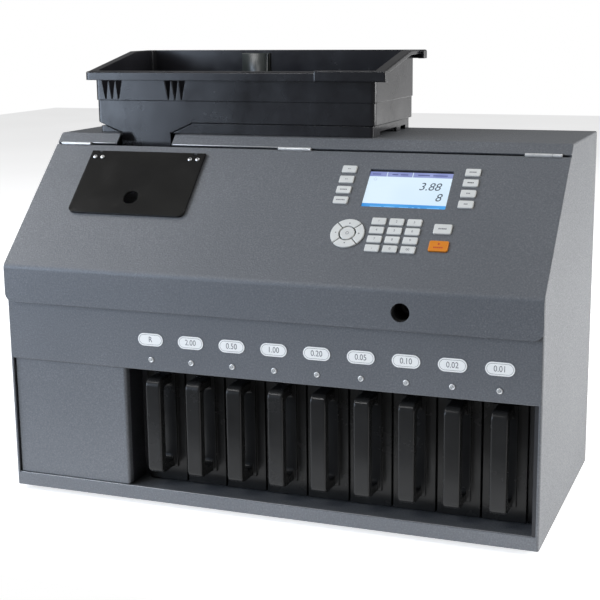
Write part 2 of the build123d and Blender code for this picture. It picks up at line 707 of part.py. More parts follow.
# hollow under the rim, inside its hanging lip
with BuildPart() as rim_hollow:
    with BuildSketch(Plane.XY.offset(height(440))):
        with Locations(((RIM_LEFT + SIDE_RIM) / 2, depth(sum(RIM_Y) / 2))):
            Rectangle(SIDE_RIM - RIM_LEFT - 2 * RIM_WALL, RIM_Y[1] - RIM_Y[0] - 2 * RIM_WALL)
        for edge in (RIM_Y[0] + 5.5, RIM_Y[1] - 8):
            with Locations((SIDE_RIM - 2, depth(edge))):
                Rectangle(2 * (HOOK_X - RIM_WALL - SIDE_RIM + 2), 6)
    extrude(amount=80)
    add(under_rim(RIM_THICK), mode=Mode.INTERSECT)

# what is cut from the lip along the right side
with BuildPart() as side_clearance:
    with Locations((95, depth((RIM_Y[0] + RIM_Y[1] - 2) / 2), height(RIM_REAR_TOP - 30))):
        Box(12, RIM_Y[1] - RIM_Y[0] - 26, 100)
    add(under_rim(SIDE_LIP), mode=Mode.INTERSECT)

with BuildPart() as hopper_tray:
    # rim: its outline, the height it follows, and the lip that hangs from it
    with BuildSketch(Plane.XY.offset(height(TRAY_LEDGE))):
        with BuildLine():
            Polyline(
                (RIM_LEFT, depth(RIM_Y[0])),
                (HOOK_X, depth(RIM_Y[0])),
                (HOOK_X, depth(RIM_Y[0] + 12)),
                (SIDE_RIM, depth(RIM_Y[0] + 12)),
                (SIDE_RIM, depth(RIM_Y[1] - 14)),
                (HOOK_X, depth(RIM_Y[1] - 14)),
                (HOOK_X, depth(RIM_Y[1])),
                (RIM_LEFT, depth(RIM_Y[1])),
                close=True,
            )
        make_face()
        fillet(vertices().group_by(Axis.X)[0], radius=7)
        fillet(vertices().group_by(Axis.X)[-1], radius=2.5)
    extrude(amount=80)
    add(under_rim(0), mode=Mode.INTERSECT)
    rim_top = hopper_tray.faces().filter_by(lambda face: face.normal_at().Z > 0.5)
    rim_edges = rim_top.edges()
    outer_edges = rim_edges.filter_by(lambda edge: rim_edges.count(edge) == 1)
    fillet(outer_edges, radius=RIM_ROUND)
    add(under_rim(RIM_LIP), mode=Mode.SUBTRACT)
    # thicker lifting grip on the right half of the front rim
    with Locations(((GRIP_LEFT + HOOK_X) / 2, depth(RIM_Y[0] + 3.5), height(RIM_FRONT_TOP - 4.5))):
        Box(HOOK_X - GRIP_LEFT, 11, 12.6)
    grip_edges = (
        hopper_tray.edges()
        .filter_by_position(Axis.Y, depth(RIM_Y[0] - 2.1), depth(RIM_Y[0] - 1.9))
    )
    fillet(grip_edges, radius=1.6)
    # the lip is shorter along the right side, between the grips
    add(side_clearance.part, mode=Mode.SUBTRACT)
    add(rim_hollow.part, mode=Mode.SUBTRACT)
    add(TRAY_OUTSIDE)
    add(TRAY_INSIDE, mode=Mode.SUBTRACT)
    # tapering grooves under the front rim, in two groups of three
    for group in (-250.4, -165.0):
        for step in (-9.6, 0, 9.6):
            with BuildSketch(Plane.XZ.offset(-depth(TRAY_FRONT - 1))):
                with BuildLine():
                    Polyline(
                        (group + step - 4.4, height(RIM_FRONT_TOP - RIM_LIP - 0.5)),
                        (group + step + 4.4, height(RIM_FRONT_TOP - RIM_LIP - 0.5)),
                        (group + 0.9 * step + 0.8, height(TRAY_LEDGE + 1.5)),
                        (group + 0.9 * step - 0.8, height(TRAY_LEDGE + 1.5)),
                        close=True,
                    )
                make_face()
            extrude(amount=-6, mode=Mode.SUBTRACT)
    # three small holes near the top of the right wall
    for i in range(3):
        with Locations((TRAY_RIGHT, depth(243.7 + 17.2 * i), height(493.6 + 2.8 * i))):
            Cylinder(1.7, 12, rotation=(0, 90, 0), mode=Mode.SUBTRACT)
    # lugs under the left end, bored for the tilt pins
    for lug in (BASE_Y[0] + 7.5, BASE_Y[1] - 7.5):
        with Locations((TILT_X, depth(lug), height(TILT_HEIGHT))):
            Cylinder(4.0, 7, rotation=(90, 0, 0))
        with Locations((TILT_X + 2.5, depth(lug), height(TILT_HEIGHT + 2.2))):
            Box(5, 7, 4.4)
        with Locations((TILT_X, depth(lug), height(TILT_HEIGHT))):
            Cylinder(PIN_R + BORE_PLAY, 9, rotation=(90, 0, 0), mode=Mode.SUBTRACT)
hopper_tray.part.label = "hopper_tray"
export_step(hopper_tray.part, "parts/hopper_tray.step")

# ---------------------------------------------------------------- lid hinges
LID_HINGE_X = (-288.6, -1.6, 285.2)
KNUCKLE_R = 2.1
LID_PIN_R = 1.0
HINGE_LONG = 40.0
KNUCKLE_LONG = 10.0
with BuildPart() as lid_hinge_fixed:
    for x in LID_HINGE_X:
        with BuildSketch(slope_plane(-SHEET - 1.2)):
            with Locations((x, -(HINGE_DOWN - 1.5 + 3) / 2)):
                Rectangle(HINGE_LONG, HINGE_DOWN - 1.5 - 3)
        extrude(amount=1.2)
        for side in (-1, 1):
            knuckle_x = x + side * (HINGE_LONG - KNUCKLE_LONG) / 2
            with BuildSketch(slope_plane(-SHEET - 1.2)):
                with Locations((knuckle_x, -HINGE_DOWN + 1)):
                    Rectangle(KNUCKLE_LONG, 2)
            extrude(amount=SHEET + 1.2)
            with Locations(slope_plane()):
                with Locations((knuckle_x, -HINGE_DOWN, 0)):
                    Cylinder(KNUCKLE_R, KNUCKLE_LONG, rotation=(0, 90, 0))
        with Locations(slope_plane()):
            with Locations((x, -HINGE_DOWN, 0)):
                Cylinder(LID_PIN_R, HINGE_LONG, rotation=(0, 90, 0))
lid_hinge_fixed.part.label = "lid_hinge_fixed"
export_step(lid_hinge_fixed.part, "parts/lid_hinge_fixed.step")

MIDDLE_LONG = HINGE_LONG - 2 * KNUCKLE_LONG - 2 * GAP
with BuildPart() as lid_hinge_moving:
    for x in LID_HINGE_X:
        with BuildSketch(slope_plane(-SHEET - 1.2)):
            with Locations((x, -(HINGE_DOWN + 1.5 + 33) / 2)):
                Rectangle(HINGE_LONG, 33 - HINGE_DOWN - 1.5)
        extrude(amount=1.2)
        with BuildSketch(slope_plane(-SHEET - 1.2)):
            with Locations((x, -HINGE_DOWN - 1)):
                Rectangle(MIDDLE_LONG, 2)
        extrude(amount=SHEET + 1.2)
        with Locations(slope_plane()):
            with Locations((x, -HINGE_DOWN, 0)):
                Cylinder(KNUCKLE_R, MIDDLE_LONG, rotation=(0, 90, 0))
                Cylinder(LID_PIN_R + BORE_PLAY, HINGE_LONG, rotation=(0, 90, 0), mode=Mode.SUBTRACT)
lid_hinge_moving.part.label = "lid_hinge_moving"
export_step(lid_hinge_moving.part, "parts/lid_hinge_moving.step")

# ---------------------------------------------------------------- keys on the lid
SIDE_KEY = (16.7, 9.9, 1.4)
NUMBER_KEY = (16.0, 9.0, 1.2)
KEYS = []                  # name, x, distance down the lid, (width, height, corner radius)
for i in range(4):
    KEYS.append((f"left_key_{i + 1}", 72.2, 45.2 + 14.67 * i, SIDE_KEY))
    KEYS.append((f"right_key_{i + 1}", 213.2, 44.7 + 14.6 * i, SIDE_KEY))
for i, digit in enumerate(["1", "2", "3", "4", "5", "6", "7", "8", "9", "dot", "0", "double_zero"]):
    KEYS.append((f"number_key_{digit}", 122.8 + 19.9 * (i % 3), 115.9 + 12.0 * (i // 3), NUMBER_KEY))
KEYS.append(("clear_key", 194.7, 122.6, (19.5, 12.7, 1.6)))
KEYS.append(("start_key", 194.6, 145.0, (21.0, 13.5, 1.8)))
PAD_X = 91.0
PAD_DOWN = 134.0
PAD_R = 19.0
PAD_IN = 9.8
OK_R = 8.2
ARROWS = [("arrow_right_key", 0), ("arrow_up_key", 90), ("arrow_left_key", 180), ("arrow_down_key", 270)]
KEY_ROUND = 0.7


def finish_key(key, name):
    """Rounds the face of a key, names it and writes it."""
    with BuildPart() as rounded:
        add(key.part)
        face = rounded.faces().filter_by(slope_plane()).sort_by(Axis.Z)[-1]
        fillet(face.edges(), radius=KEY_ROUND)
    rounded.part.label = name
    export_step(rounded.part, f"parts/{name}.step")


for key_name, key_x, key_down, key_size in KEYS:
    with BuildPart() as flat_key:
        with BuildSketch(slope_plane(-KEY_DEEP)):
            with Locations((key_x, -key_down)):
                RectangleRounded(*key_size)
        extrude(amount=KEY_DEEP + KEY_PROUD)
    finish_key(flat_key, key_name)

for arrow_name, arrow_turn in ARROWS:
    with BuildPart() as arrow_key:
        with BuildSketch(slope_plane(-KEY_DEEP)):
            with Locations((PAD_X, -PAD_DOWN)):
                Circle(PAD_R)
                Circle(PAD_IN, mode=Mode.SUBTRACT)
                Polygon(
                    (0.8, 0),
                    (30, -29.2),
                    (30, 29.2),
                    rotation=arrow_turn,
                    align=None,
                    mode=Mode.INTERSECT,
                )
        extrude(amount=KEY_DEEP + KEY_PROUD)
    finish_key(arrow_key, arrow_name)

with BuildPart() as ok_button:
    with BuildSketch(slope_plane(-KEY_DEEP)):
        with Locations((PAD_X, -PAD_DOWN)):
            Circle(OK_R)
    extrude(amount=KEY_DEEP + KEY_PROUD)
finish_key(ok_button, "ok_key")

# ---------------------------------------------------------------- lid panel
BEND_R = 9.0
with BuildPart() as lid_panel:
    with BuildSketch(Plane.YZ.offset(-WIDTH / 2)):
        with BuildLine():
            Polyline(
                section(LID_TOP),
                bend_point(0),
                (depth(-LIP_OUT), height(LIP_BOTTOM)),
                (depth(-LIP_OUT + SHEET), height(LIP_BOTTOM)),
                bend_point(SHEET),
                section(LID_TOP, -SHEET),
                close=True,
            )
        make_face()
    extrude(amount=WIDTH)
    along = lid_panel.edges().filter_by(Axis.X)
    bends = along.filter_by_position(Axis.Z, bend_point(SHEET)[1] - 1, bend_point(0)[1] + 1)
    fillet(bends.sort_by(Axis.Y)[-1], radius=BEND_R - SHEET)
    outer = lid_panel.edges().filter_by(Axis.X).sort_by_distance((0, *bend_point(0)))[0]
    fillet(outer, radius=BEND_R)
    fillet(lid_panel.edges().filter_by(Axis.Y).group_by(Axis.Z)[0], radius=10)
    # openings for the window, the screen, the keys and the hinges
    with BuildSketch(slope_plane(1)):
        window_mid = (sum(WINDOW_X) / 2, -sum(WINDOW_DOWN) / 2 - 1)
        with Locations(window_mid):
            RectangleRounded(WINDOW_X[1] - WINDOW_X[0] - 8, WINDOW_DOWN[1] - WINDOW_DOWN[0] - 10, 4)
        with Locations((sum(SCREEN_X) / 2, -sum(SCREEN_DOWN) / 2)):
            RectangleRounded(SCREEN_X[1] - SCREEN_X[0], SCREEN_DOWN[1] - SCREEN_DOWN[0], 0.8)
        for _, key_x, key_down, key_size in KEYS:
            with Locations((key_x, -key_down)):
                RectangleRounded(key_size[0] + 2 * GAP, key_size[1] + 2 * GAP, key_size[2] + GAP)
        with Locations((PAD_X, -PAD_DOWN)):
            Circle(PAD_R + GAP)
        for x in LID_HINGE_X:
            with Locations((x, -LID_TOP)):
                Rectangle(HINGE_LONG + 1, 2.6)
    extrude(amount=-4, mode=Mode.SUBTRACT)
    # round hole in the upright lip
    with BuildSketch(Plane.XZ.offset(-depth(-LIP_OUT - 1))):
        with Locations((LOCK_AT[0], height(LOCK_AT[1]))):
            Circle(LOCK_R)
    extrude(amount=-4, mode=Mode.SUBTRACT)
lid_panel.part.label = "lid_panel"
export_step(lid_panel.part, "parts/lid_panel.step")

# ---------------------------------------------------------------- control board and screen
BOARD_IN = 7.0
with BuildPart() as control_board:
    with BuildSketch(slope_plane(-BOARD_IN - 1.6)):
        with Locations((143, -98)):
            RectangleRounded(182, 124, 2)
    extrude(amount=1.6)
    with BuildSketch(slope_plane(-BOARD_IN)):
        with Locations((sum(SCREEN_X) / 2, -sum(SCREEN_DOWN) / 2)):
            Rectangle(106, 62)
    extrude(amount=BOARD_IN - SHEET - 0.2)
    with BuildSketch(slope_plane(-BOARD_IN)):
        with Locations((143, -98)):
            with GridLocations(173, 116, 2, 2):
                Circle(3)
    extrude(amount=BOARD_IN - SHEET)
control_board.part.label = "control_board"
export_step(control_board.part, "parts/control_board.step")

# ---------------------------------------------------------------- window flap and its hinge ears
FLAP_AXIS_DOWN = WINDOW_DOWN[0] + WINDOW_THICK / 2
FLAP_AXIS_OUT = GAP + WINDOW_THICK / 2
EAR_X = (-247.6, -121.8)
EAR_WIDE = 3.6
FLAP_PIN_R = 0.6
FINGER_AT = (-183.8, 99.0)
FINGER_R = 9.5
with BuildPart() as window_flap:
    with BuildSketch(slope_plane(GAP)):
        with Locations((sum(WINDOW_X) / 2, -sum(WINDOW_DOWN) / 2)):
            Rectangle(WINDOW_X[1] - WINDOW_X[0], WINDOW_DOWN[1] - WINDOW_DOWN[0])
        fillet(vertices().group_by(Axis.Y)[0], radius=7)
        with Locations((FINGER_AT[0], -FINGER_AT[1])):
            Circle(FINGER_R, mode=Mode.SUBTRACT)
    extrude(amount=WINDOW_THICK)
    top_edges = window_flap.edges().filter_by(Axis.X).group_by(Axis.Z)
    fillet(top_edges[-1] + top_edges[-2], radius=WINDOW_THICK / 2 - 0.1)
    with BuildSketch(slope_plane(GAP - 1)):
        for x in EAR_X:
            with Locations((x, -WINDOW_DOWN[0] - 1.5)):
                Rectangle(EAR_WIDE + 2 * GAP, 6)
    extrude(amount=WINDOW_THICK + 2, mode=Mode.SUBTRACT)
    for x in EAR_X:
        with Locations(slope_plane(FLAP_AXIS_OUT)):
            with Locations((x, -FLAP_AXIS_DOWN, 0)):
                Cylinder(FLAP_PIN_R + 0.04, EAR_WIDE + 8, rotation=(0, 90, 0), mode=Mode.SUBTRACT)
window_flap.part.label = "window_flap"
export_step(window_flap.part, "parts/window_flap.step")

with BuildPart() as window_hinges:
    for x in EAR_X:
        with BuildSketch(slope_plane(0)):
            with Locations((x, -FLAP_AXIS_DOWN)):
                Rectangle(EAR_WIDE, 2.6)
        extrude(amount=FLAP_AXIS_OUT)
        with Locations(slope_plane(FLAP_AXIS_OUT)):
            with Locations((x, -FLAP_AXIS_DOWN, 0)):
                Cylinder(1.4, EAR_WIDE, rotation=(0, 90, 0))
                Cylinder(FLAP_PIN_R, EAR_WIDE + 7, rotation=(0, 90, 0))
window_hinges.part.label = "window_hinges"
export_step(window_hinges.part, "parts/window_hinges.step")
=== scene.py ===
"""Looks of the coin sorting machine: its finishes, its small trim, and a plain studio.

Metres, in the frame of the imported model: +X to the machine's right, -Y to its front, +Z up.
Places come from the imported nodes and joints. On the sloped lid, a place is given as x, the distance
down the slope from the lid's hinge line, and the distance out of the lid's face.
"""
import json
import math

import bmesh
import bpy
from mathutils import Matrix, Vector


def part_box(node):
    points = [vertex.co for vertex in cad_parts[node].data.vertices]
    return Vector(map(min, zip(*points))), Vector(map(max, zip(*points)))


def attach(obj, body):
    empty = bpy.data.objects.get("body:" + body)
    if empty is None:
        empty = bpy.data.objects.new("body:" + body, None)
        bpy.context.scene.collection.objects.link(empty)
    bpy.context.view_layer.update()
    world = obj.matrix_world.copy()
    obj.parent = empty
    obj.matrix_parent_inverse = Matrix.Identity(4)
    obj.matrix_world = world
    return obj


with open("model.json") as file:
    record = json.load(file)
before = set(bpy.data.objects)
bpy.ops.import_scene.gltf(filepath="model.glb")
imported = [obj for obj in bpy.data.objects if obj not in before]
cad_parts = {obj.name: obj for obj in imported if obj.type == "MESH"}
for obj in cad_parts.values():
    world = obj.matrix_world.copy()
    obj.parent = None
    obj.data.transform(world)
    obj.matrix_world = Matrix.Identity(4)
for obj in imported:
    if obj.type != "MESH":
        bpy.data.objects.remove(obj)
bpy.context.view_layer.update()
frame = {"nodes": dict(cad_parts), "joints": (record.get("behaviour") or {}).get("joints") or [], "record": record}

MM = 0.001
NODES = frame["nodes"]
JOINTS = {joint["name"]: joint for joint in frame["joints"]}

# ---------------------------------------------------------------- the lid's own directions
HINGE = Vector(JOINTS["lid_hinge"]["pos_m"])
OUT = -Vector(JOINTS["start_key_press"]["axis"]).normalized()
RIGHT = Vector((1, 0, 0))
DOWN = RIGHT.cross(OUT).normalized()
FRONT = Vector((0, -1, 0))
UP = Vector((0, 0, 1))


def on_lid(x, down, out=0.0):
    """A place on the sloped lid, from x, the distance below the hinge line and the distance out."""
    return Vector((x, HINGE.y, HINGE.z)) + DOWN * down + OUT * out


def facing(origin, normal, up):
    """Matrix that puts local X, Y, Z along the piece's right, up and outward normal."""
    z = normal.normalized()
    x = up.cross(z).normalized()
    y = z.cross(x)
    turn = Matrix((x, y, z)).transposed().to_4x4()
    turn.translation = origin
    return turn


def lid_face(node):
    """Middle of a node's outermost face, as it lies on the lid."""
    points = [v.co for v in NODES[node].data.vertices]
    across = [p.x for p in points]
    along = [(p - HINGE).dot(DOWN) for p in points]
    proud = max((p - HINGE).dot(OUT) for p in points)
    return on_lid((min(across) + max(across)) / 2, (min(along) + max(along)) / 2, proud)


# ---------------------------------------------------------------- materials
def new_material(name, **values):
    """A Principled material; values are its constant sockets, by name with _ for space."""
    material = bpy.data.materials.new(name)
    material.use_nodes = True
    shader = material.node_tree.nodes["Principled BSDF"]
    for key, value in values.items():
        socket = shader.inputs[key.replace("_", " ")]
        if isinstance(value, tuple) and len(value) == 3:
            value = (*value, 1.0)
        socket.default_value = value
    return material


def add_node(material, kind, **values):
    node = material.node_tree.nodes.new(kind)
    for key, value in values.items():
        if key.replace("_", " ") in node.inputs:
            node.inputs[key.replace("_", " ")].default_value = value
        else:
            setattr(node, key, value)
    return node


def link(material, a, b):
    material.node_tree.links.new(a, b)


def place_of(material, stretch=(1, 1, 1)):
    """The surface's place in metres, stretched for brushed or drawn grain."""
    where = add_node(material, "ShaderNodeTexCoord")
    scale = add_node(material, "ShaderNodeMapping")
    scale.inputs["Scale"].default_value = stretch
    link(material, where.outputs["Object"], scale.inputs["Vector"])
    return scale.outputs["Vector"]


def noise(material, scale, detail=2.0, roughness=0.5, stretch=(1, 1, 1)):
    node = add_node(material, "ShaderNodeTexNoise", Scale=scale, Detail=detail, Roughness=roughness)
    link(material, place_of(material, stretch), node.inputs["Vector"])
    return node.outputs["Fac"]


def ramp(material, source, stops):
    """Colour ramp; stops are (place, colour or grey value)."""
    node = add_node(material, "ShaderNodeValToRGB")
    points = node.color_ramp.elements
    while len(points) < len(stops):
        points.new(0.5)
    for point, (place, colour) in zip(points, stops):
        point.position = place
        point.color = (*colour, 1.0) if isinstance(colour, tuple) else (colour, colour, colour, 1.0)
    link(material, source, node.inputs["Fac"])
    return node.outputs["Color"]


def vary(material, socket, source, stops):
    shader = material.node_tree.nodes["Principled BSDF"]
    link(material, ramp(material, source, stops), shader.inputs[socket])


def relief(material, heights, edge=0.0):
    """Bumps from (source, strength, distance in metres), over edges softened by a radius."""
    shader = material.node_tree.nodes["Principled BSDF"]
    normal = None
    if edge:
        rounded = add_node(material, "ShaderNodeBevel", samples=4, Radius=edge)
        normal = rounded.outputs["Normal"]
    for source, strength, distance in heights:
        bump = add_node(material, "ShaderNodeBump", Strength=strength, Distance=distance)
        link(material, source, bump.inputs["Height"])
        if normal:
            link(material, normal, bump.inputs["Normal"])
        normal = bump.outputs["Normal"]
    link(material, normal, shader.inputs["Normal"])


def slate_paint():
    """Textured slate-grey powder coat: fine pebbles, a little sparkle, soft cloudy variation."""
    paint = new_material("slate powder coat", Metallic=0.2, Specular_IOR_Level=0.5)
    pebbles = noise(paint, 560, 3, 0.62)
    clouds = noise(paint, 5, 3)
    mixed = add_node(paint, "ShaderNodeMix", data_type="FLOAT")
    mixed.inputs[0].default_value = 0.25
    link(paint, pebbles, mixed.inputs[2])
    link(paint, clouds, mixed.inputs[3])
    vary(paint, "Base Color", mixed.outputs[0], [
        (0.30, (0.112, 0.119, 0.130)),
        (0.52, (0.145, 0.152, 0.164)),
        (0.72, (0.215, 0.223, 0.236)),
    ])
    vary(paint, "Roughness", noise(paint, 900, 1), [(0.3, 0.34), (0.7, 0.56)])
    relief(paint, [(pebbles, 0.62, 0.0005)], edge=0.0009)
    return paint


def dark_steel():
    """Satin black paint of the rack and the unseen boxes; on the floor of the bay the same dark sheet is painted
    shade, standing in for the bay's shade.
    """
    steel = new_material("dark satin steel and painted shade", Metallic=0.1)
    grain = noise(steel, 500, 2)
    clouds = noise(steel, 14, 3)
    vary(steel, "Base Color", clouds, [(0.3, (0.018, 0.019, 0.022)), (0.7, (0.030, 0.031, 0.036))])
    vary(steel, "Roughness", grain, [(0.3, 0.40), (0.7, 0.58)])
    relief(steel, [(grain, 0.2, 0.0002)], edge=0.0006)
    return steel


def brushed_steel(name, colour, stretch, rough, metal=1.0):
    steel = new_material(name, Metallic=metal)
    lines = noise(steel, 60, 3, 0.6, stretch)
    darker = tuple(0.72 * c for c in colour)
    vary(steel, "Base Color", lines, [(0.25, darker), (0.6, colour)])
    vary(steel, "Roughness", lines, [(0.3, rough), (0.7, rough + 0.16)])
    relief(steel, [(lines, 0.12, 0.0001)], edge=0.0003)
    return steel


def moulded_black(name, colour, rough, grain_scale, grain, edge, spec=0.5):
    """Black moulded plastic: faint flow marks, a fine eroded grain and slightly soft corners."""
    plastic = new_material(name, Specular_IOR_Level=spec)
    flow = noise(plastic, 9, 4, 0.55)
    lighter = tuple(1.9 * c for c in colour)
    vary(plastic, "Base Color", flow, [(0.35, colour), (0.75, lighter)])
    vary(plastic, "Roughness", noise(plastic, 22, 5, 0.65), [(0.3, rough), (0.7, rough + 0.14)])
    fine = noise(plastic, grain_scale, 2)
    relief(plastic, [(flow, 0.10, 0.004), (fine, grain, 0.0002)], edge=edge)
    return plastic


def satin_plastic(name, low, high, rough, edge=0.0004):
    plastic = new_material(name)
    vary(plastic, "Base Color", noise(plastic, 45, 3), [(0.3, low), (0.7, high)])
    fine = noise(plastic, 1400, 2)
    vary(plastic, "Roughness", fine, [(0.3, rough), (0.7, rough + 0.12)])
    relief(plastic, [(fine, 0.12, 0.0001)], edge=edge)
    return plastic


def circuit_board():
    board = new_material("circuit board", Coat_Weight=0.4)
    copper = add_node(board, "ShaderNodeTexBrick", Scale=130.0)
    link(board, place_of(board), copper.inputs["Vector"])
    greens = [(0.0, (0.010, 0.070, 0.030)), (1.0, (0.020, 0.140, 0.060))]
    vary(board, "Base Color", copper.outputs["Fac"], greens)
    vary(board, "Roughness", noise(board, 80), [(0.3, 0.35), (0.7, 0.5)])
    return board


def smoked_sheet():
    """Dark smoked acrylic that lets a little of the inside through."""
    sheet = new_material("smoked acrylic", IOR=1.49, Alpha=0.93)
    haze = noise(sheet, 12, 4)
    vary(sheet, "Base Color", haze, [(0.3, (0.010, 0.0095, 0.009)), (0.7, (0.019, 0.018, 0.016))])
    vary(sheet, "Roughness", noise(sheet, 30, 4, 0.7), [(0.35, 0.10), (0.75, 0.20)])
    relief(sheet, [(haze, 0.03, 0.001)], edge=0.0006)
    return sheet


def lit(name, low, high, strength, scale=40):
    """A lit part of the display: its colour drifts a little, as a backlight does."""
    glow = new_material(name, Roughness=0.35)
    shader = glow.node_tree.nodes["Principled BSDF"]
    colour = ramp(glow, noise(glow, scale, 1), [(0.35, low), (0.65, high)])
    link(glow, colour, shader.inputs["Emission Color"])
    shader.inputs["Emission Strength"].default_value = strength
    shader.inputs["Base Color"].default_value = (0.05, 0.05, 0.05, 1)
    return glow


def print_ink(name, colour):
    ink = new_material(name)
    lighter = tuple(min(1.0, 1.5 * c) for c in colour)
    vary(ink, "Base Color", noise(ink, 700, 2), [(0.35, colour), (0.7, lighter)])
    vary(ink, "Roughness", noise(ink, 400, 2), [(0.3, 0.5), (0.7, 0.65)])
    return ink


PAINT = slate_paint()
# dark satin steel; on the floor of the bay it is painted shade
DARK_STEEL_AND_SHADE = dark_steel()
DECK = brushed_steel("brushed deck steel", (0.55, 0.56, 0.57), (1, 14, 14), 0.28)
BRIGHT = brushed_steel("bright zinc", (0.84, 0.84, 0.83), (1, 9, 9), 0.26, 0.45)
MOTOR = brushed_steel("machined aluminium", (0.50, 0.51, 0.52), (6, 6, 1), 0.34)
TRAY = moulded_black("tray ABS", (0.010, 0.010, 0.012), 0.15, 420, 0.08, 0.0012)
DRAWER = moulded_black("drawer ABS", (0.011, 0.011, 0.011), 0.17, 500, 0.06, 0.0012, 0.3)
BLACK = moulded_black("black plastic", (0.012, 0.012, 0.012), 0.42, 700, 0.25, 0.0005)
RUBBER = moulded_black("foot rubber", (0.014, 0.014, 0.014), 0.70, 300, 0.40, 0.0006, 0.3)
WINDOW = smoked_sheet()
KEYS = satin_plastic("key plastic", (0.68, 0.68, 0.65), (0.75, 0.75, 0.72), 0.38)
START = satin_plastic("start key plastic", (0.72, 0.22, 0.009), (0.78, 0.25, 0.014), 0.34)
LABEL = satin_plastic("label plastic", (0.93, 0.93, 0.91), (0.97, 0.97, 0.95), 0.30, 0.0002)
BOARD = circuit_board()
INK = print_ink("dark ink", (0.06, 0.06, 0.065))
PALE_INK = print_ink("grey ink", (0.15, 0.15, 0.16))
RED_INK = print_ink("red ink", (0.45, 0.05, 0.02))

FINISHES = {
    "slate_paint": PAINT,
    "dark_steel": DARK_STEEL_AND_SHADE,
    "deck_steel": DECK,
    "hinge_steel": BRIGHT,
    "motor_metal": MOTOR,
    "disc_metal": MOTOR,
    "foot_rubber": RUBBER,
    "tray_plastic": TRAY,
    "drawer_plastic": DRAWER,
    "smoked_window": WINDOW,
    "black_plastic": BLACK,
    "rocker_plastic": BLACK,
    "board": BOARD,
    "label_plastic": LABEL,
    "key_plastic": KEYS,
    "start_key_plastic": START,
}
for part in frame["record"]["subparts"]:
    node = NODES[part["node"]]
    node.data.materials.clear()
    node.data.materials.append(FINISHES[part["material_slot"]])


# ---------------------------------------------------------------- making pieces
def piece(name, mesh, material, body, smooth=True):
    """Puts a finished mesh in the scene, riding on a body."""
    mesh.materials.clear()
    mesh.materials.append(material)
    for polygon in mesh.polygons:
        polygon.use_smooth = smooth
    obj = bpy.data.objects.new(name, mesh)
    bpy.context.scene.collection.objects.link(obj)
    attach(obj, body)
    return obj


def from_bmesh(name, bm, at):
    """Mesh from a bmesh in local axes, moved to its place."""
    bmesh.ops.recalc_face_normals(bm, faces=bm.faces)
    mesh = bpy.data.meshes.new(name)
    bm.to_mesh(mesh)
    bm.free()
    mesh.transform(at)
    return mesh


def turned(profile, steps=32):
    """A turned solid from (radius, height) points, closed at both ends."""
    bm = bmesh.new()
    rings = []
    for radius, level in profile:
        ring = []
        for i in range(steps):
            angle = 2 * math.pi * i / steps
            ring.append(bm.verts.new((radius * math.cos(angle), radius * math.sin(angle), level)))
        rings.append(ring)
    for low, high in zip(rings, rings[1:]):
        for i in range(steps):
            j = (i + 1) % steps
            bm.faces.new((low[i], low[j], high[j], high[i]))
    bm.faces.new(rings[0][::-1])
    bm.faces.new(rings[-1])
    return bm


def tube(outer, inner, low, high, soft, steps=32):
    """A ring with softened outer rim, as a closed solid."""
    bm = bmesh.new()
    profile = [
        (inner, low), (outer, low), (outer, high - soft), (outer - soft, high), (inner, high),
    ]
    rings = []
    for radius, level in profile:
        ring = []
        for i in range(steps):
            angle = 2 * math.pi * i / steps
            ring.append(bm.verts.new((radius * math.cos(angle), radius * math.sin(angle), level)))
        rings.append(ring)
    for k in range(len(rings)):
        low_ring, high_ring = rings[k], rings[(k + 1) % len(rings)]
        for i in range(steps):
            j = (i + 1) % steps
            bm.faces.new((low_ring[i], low_ring[j], high_ring[j], high_ring[i]))
    return bm


def plate(outline, thick, soft=0.0):
    """A flat plate from an outline in local X, Y, with its upper edge softened."""
    bm = bmesh.new()
    base = [bm.verts.new((x, y, 0)) for x, y in outline]
    bottom = bm.faces.new(base)
    made = bmesh.ops.extrude_face_region(bm, geom=[bottom])
    top = [v for v in made["geom"] if isinstance(v, bmesh.types.BMVert)]
    bmesh.ops.translate(bm, verts=top, vec=(0, 0, thick))
    if soft:
        level = thick - 1e-7
        rim = [e for e in bm.edges if all(v.co.z > level for v in e.verts)]
        bmesh.ops.bevel(bm, geom=rim, offset=soft, segments=2, affect="EDGES")
    return bm


def rounded_outline(wide, tall, radius, steps=6):
    points = []
    for k, (sx, sy) in enumerate(((1, 1), (-1, 1), (-1, -1), (1, -1))):
        for i in range(steps + 1):
            angle = math.pi / 2 * (k + i / steps)
            points.append((
                sx * (wide / 2 - radius) + radius * math.cos(angle),
                sy * (tall / 2 - radius) + radius * math.sin(angle),
            ))
    return points


def frame_outline(wide, tall, radius, width, thick):
    """A thin closed border, such as a printed outline."""
    outer = rounded_outline(wide, tall, radius, 8)
    inner = rounded_outline(wide - 2 * width, tall - 2 * width, max(radius - width, 1e-5), 8)
    bm = bmesh.new()
    loops = []
    for outline, level in ((outer, 0), (outer, thick), (inner, thick), (inner, 0)):
        loops.append([bm.verts.new((x, y, level)) for x, y in outline])
    count = len(outer)
    for k in range(4):
        a, b = loops[k], loops[(k + 1) % 4]
        for i in range(count):
            j = (i + 1) % count
            bm.faces.new((a[i], a[j], b[j], b[i]))
    return bm


def numerals(name, text, height, at, thick, slant=0.0, narrow=1.0):
    """Mesh of a number, centred on its place."""
    curve = bpy.data.curves.new(name, "FONT")
    curve.body = text
    curve.size = height / 0.72
    curve.align_x = "CENTER"
    curve.align_y = "CENTER"
    curve.shear = slant
    curve.extrude = thick / 2
    curve.resolution_u = 4
    holder = bpy.data.objects.new(name, curve)
    bpy.context.scene.collection.objects.link(holder)
    bpy.context.view_layer.update()
    depsgraph = bpy.context.evaluated_depsgraph_get()
    mesh = bpy.data.meshes.new_from_object(holder.evaluated_get(depsgraph))
    bpy.data.objects.remove(holder)
    mesh.transform(at @ Matrix.Translation((0, 0, thick / 2)) @ Matrix.Diagonal((narrow, 1, 1, 1)))
    return mesh


